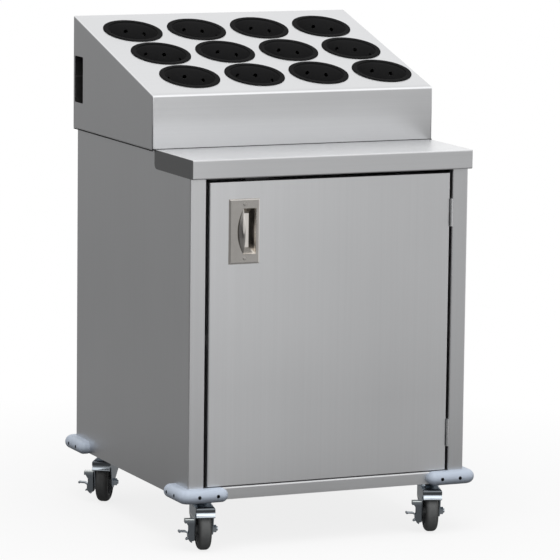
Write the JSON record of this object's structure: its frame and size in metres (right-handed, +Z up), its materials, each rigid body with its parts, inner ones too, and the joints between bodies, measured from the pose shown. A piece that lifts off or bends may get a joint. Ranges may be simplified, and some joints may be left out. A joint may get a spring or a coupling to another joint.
{
  "type": "silverware cart",
  "caption": "Stainless cart with a sloped top of lift-out cutlery cylinders, a counter ledge, a one-door cabinet, corner bumpers and braked swivel casters.",
  "frame": {"origin": "on the floor under the middle of the cart's outline", "axes": "+Z up, +X to the right of someone who faces the door, the door faces -Y"},
  "size_m": [0.592, 0.605, 0.9241],
  "materials": {
    "stainless": "brushed stainless sheet",
    "pull_steel": "polished stainless stamping",
    "zinc": "bright zinc plate",
    "cup_plastic": "black moulded plastic",
    "bumper_vinyl": "blue-grey vinyl",
    "hub_plastic": "grey moulded plastic",
    "catch_plastic": "white moulded plastic",
    "tyre": "dark grey rubber tread"
  },
  "bodies": {
    "cabinet": {"side_panel_left": "stainless", "side_panel_right": "stainless", "back_panel": "stainless", "base_pan": "stainless", "caster_channels": "stainless", "header_rail": "stainless", "counter_top": "stainless", "interior_shelf": "stainless", "shelf_clips": "stainless", "hood_top": "stainless", "hood_side_left": "stainless", "hood_side_right": "stainless", "hood_back": "stainless", "bumper_screws": "zinc", "hinge_frame_leaves": "zinc", "magnet_catch": "catch_plastic", "caster_plates": "zinc", "caster_bolts": "zinc", "bumper_front_left": "bumper_vinyl", "bumper_front_right": "bumper_vinyl", "bumper_rear_left": "bumper_vinyl", "bumper_rear_right": "bumper_vinyl"},
    "door": {"door_skin": "stainless", "door_liner": "stainless", "recessed_pull": "pull_steel", "pull_screws": "zinc", "hinge_door_leaves": "zinc", "catch_strike": "zinc"},
    "cup_front_1": {"cylinder_front_1": "cup_plastic"},
    "cup_front_2": {"cylinder_front_2": "cup_plastic"},
    "cup_front_3": {"cylinder_front_3": "cup_plastic"},
    "cup_front_4": {"cylinder_front_4": "cup_plastic"},
    "cup_middle_1": {"cylinder_middle_1": "cup_plastic"},
    "cup_middle_2": {"cylinder_middle_2": "cup_plastic"},
    "cup_middle_3": {"cylinder_middle_3": "cup_plastic"},
    "cup_middle_4": {"cylinder_middle_4": "cup_plastic"},
    "cup_back_1": {"cylinder_back_1": "cup_plastic"},
    "cup_back_2": {"cylinder_back_2": "cup_plastic"},
    "cup_back_3": {"cylinder_back_3": "cup_plastic"},
    "cup_back_4": {"cylinder_back_4": "cup_plastic"},
    "caster_front_left": {"fork_front_left": "zinc", "axle_front_left": "zinc"},
    "wheel_front_left": {"wheel_hub_front_left": "hub_plastic", "tyre_front_left": "tyre"},
    "brake_front_left": {"brake_lever_front_left": "zinc"},
    "caster_front_right": {"fork_front_right": "zinc", "axle_front_right": "zinc"},
    "wheel_front_right": {"wheel_hub_front_right": "hub_plastic", "tyre_front_right": "tyre"},
    "brake_front_right": {"brake_lever_front_right": "zinc"},
    "caster_rear_left": {"fork_rear_left": "zinc", "axle_rear_left": "zinc"},
    "wheel_rear_left": {"wheel_hub_rear_left": "hub_plastic", "tyre_rear_left": "tyre"},
    "brake_rear_left": {"brake_lever_rear_left": "zinc"},
    "caster_rear_right": {"fork_rear_right": "zinc", "axle_rear_right": "zinc"},
    "wheel_rear_right": {"wheel_hub_rear_right": "hub_plastic", "tyre_rear_right": "tyre"},
    "brake_rear_right": {"brake_lever_rear_right": "zinc"}
  },
  "joints": [
    {"name": "door_hinge", "type": "hinge", "parent": "cabinet", "child": "door", "pos_m": [0.2414, -0.2835, 0.4], "axis": [0, 0, 1], "range_deg": [0, 175]},
    {"name": "lift_front_1", "type": "slide", "parent": "cabinet", "child": "cup_front_1", "axis": [0, -0.2723, 0.9622], "range_m": [0, 0.15]},
    {"name": "lift_front_2", "type": "slide", "parent": "cabinet", "child": "cup_front_2", "axis": [0, -0.2723, 0.9622], "range_m": [0, 0.15]},
    {"name": "lift_front_3", "type": "slide", "parent": "cabinet", "child": "cup_front_3", "axis": [0, -0.2723, 0.9622], "range_m": [0, 0.15]},
    {"name": "lift_front_4", "type": "slide", "parent": "cabinet", "child": "cup_front_4", "axis": [0, -0.2723, 0.9622], "range_m": [0, 0.15]},
    {"name": "lift_middle_1", "type": "slide", "parent": "cabinet", "child": "cup_middle_1", "axis": [0, -0.2723, 0.9622], "range_m": [0, 0.15]},
    {"name": "lift_middle_2", "type": "slide", "parent": "cabinet", "child": "cup_middle_2", "axis": [0, -0.2723, 0.9622], "range_m": [0, 0.15]},
    {"name": "lift_middle_3", "type": "slide", "parent": "cabinet", "child": "cup_middle_3", "axis": [0, -0.2723, 0.9622], "range_m": [0, 0.15]},
    {"name": "lift_middle_4", "type": "slide", "parent": "cabinet", "child": "cup_middle_4", "axis": [0, -0.2723, 0.9622], "range_m": [0, 0.15]},
    {"name": "lift_back_1", "type": "slide", "parent": "cabinet", "child": "cup_back_1", "axis": [0, -0.2723, 0.9622], "range_m": [0, 0.15]},
    {"name": "lift_back_2", "type": "slide", "parent": "cabinet", "child": "cup_back_2", "axis": [0, -0.2723, 0.9622], "range_m": [0, 0.15]},
    {"name": "lift_back_3", "type": "slide", "parent": "cabinet", "child": "cup_back_3", "axis": [0, -0.2723, 0.9622], "range_m": [0, 0.15]},
    {"name": "lift_back_4", "type": "slide", "parent": "cabinet", "child": "cup_back_4", "axis": [0, -0.2723, 0.9622], "range_m": [0, 0.15]},
    {"name": "swivel_front_left", "type": "hinge", "parent": "cabinet", "child": "caster_front_left", "pos_m": [-0.229, -0.2315, 0.08], "axis": [0, 0, 1], "continuous": true},
    {"name": "roll_front_left", "type": "hinge", "parent": "caster_front_left", "child": "wheel_front_left", "pos_m": [-0.23626, -0.26061, 0.038], "axis": [0.9703, -0.2419, 0], "continuous": true},
    {"name": "brake_press_front_left", "type": "hinge", "parent": "caster_front_left", "child": "brake_front_left", "pos_m": [-0.26419, -0.26828, 0.026], "axis": [-0.2419, -0.9703, 0], "range_deg": [0, 20]},
    {"name": "swivel_front_right", "type": "hinge", "parent": "cabinet", "child": "caster_front_right", "pos_m": [0.229, -0.2315, 0.08], "axis": [0, 0, 1], "continuous": true},
    {"name": "roll_front_right", "type": "hinge", "parent": "caster_front_right", "child": "wheel_front_right", "pos_m": [0.21973, -0.26003, 0.038], "axis": [0.9511, -0.309, 0], "continuous": true},
    {"name": "brake_press_front_right", "type": "hinge", "parent": "caster_front_right", "child": "brake_front_right", "pos_m": [0.19133, -0.26573, 0.026], "axis": [-0.309, -0.9511, 0], "range_deg": [0, 20]},
    {"name": "swivel_rear_left", "type": "hinge", "parent": "cabinet", "child": "caster_rear_left", "pos_m": [-0.229, 0.2315, 0.08], "axis": [0, 0, 1], "continuous": true},
    {"name": "roll_rear_left", "type": "hinge", "parent": "caster_rear_left", "child": "wheel_rear_left", "pos_m": [-0.24534, 0.20634, 0.038], "axis": [0.8387, -0.5446, 0], "continuous": true},
    {"name": "brake_press_rear_left", "type": "hinge", "parent": "caster_rear_left", "child": "brake_rear_left", "pos_m": [-0.27425, 0.20818, 0.026], "axis": [-0.5446, -0.8387, 0], "range_deg": [0, 20]},
    {"name": "swivel_rear_right", "type": "hinge", "parent": "cabinet", "child": "caster_rear_right", "pos_m": [0.229, 0.2315, 0.08], "axis": [0, 0, 1], "continuous": true},
    {"name": "roll_rear_right", "type": "hinge", "parent": "caster_rear_right", "child": "wheel_rear_right", "pos_m": [0.21874, 0.20331, 0.038], "axis": [0.9397, -0.342, 0], "continuous": true},
    {"name": "brake_press_rear_right", "type": "hinge", "parent": "caster_rear_right", "child": "brake_rear_right", "pos_m": [0.19015, 0.1986, 0.026], "axis": [-0.342, -0.9397, 0], "range_deg": [0, 20]}
  ]
}
